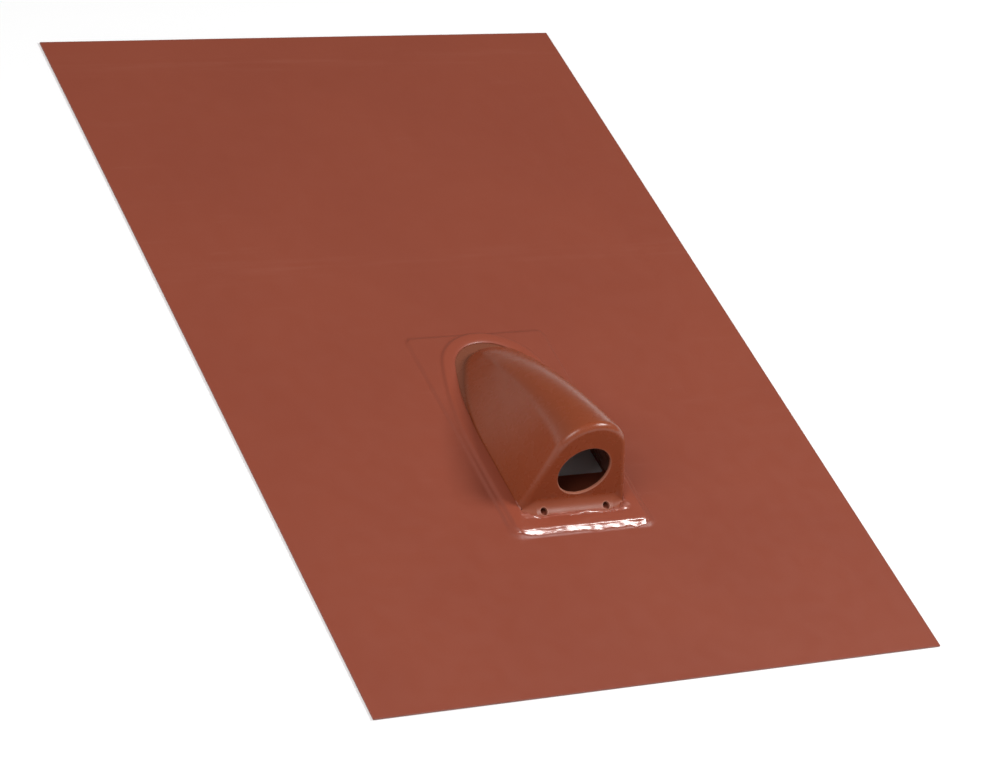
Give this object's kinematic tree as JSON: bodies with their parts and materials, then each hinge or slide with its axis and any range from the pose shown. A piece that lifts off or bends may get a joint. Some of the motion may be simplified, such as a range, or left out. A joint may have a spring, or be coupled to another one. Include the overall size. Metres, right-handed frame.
{
  "type": "pipe boot",
  "caption": "Roof pipe boot: a large flexible membrane sheet with a moulded sloping hood whose round front opening lets a pipe out under cover.",
  "frame": {"origin": "middle of the membrane sheet in plan, on its underside", "axes": "+Y up the roof slope, along the sheet's long side; +Z away from the roof; the round opening looks down the slope, to -Y"},
  "size_m": [0.55, 0.85, 0.0922],
  "materials": {
    "membrane": "satin",
    "hood": "semi-gloss",
    "plate": "satin"
  },
  "bodies": {
    "root": {"membrane_sheet": "membrane", "hood": "hood", "base_plate": "plate"}
  },
  "joints": []
}
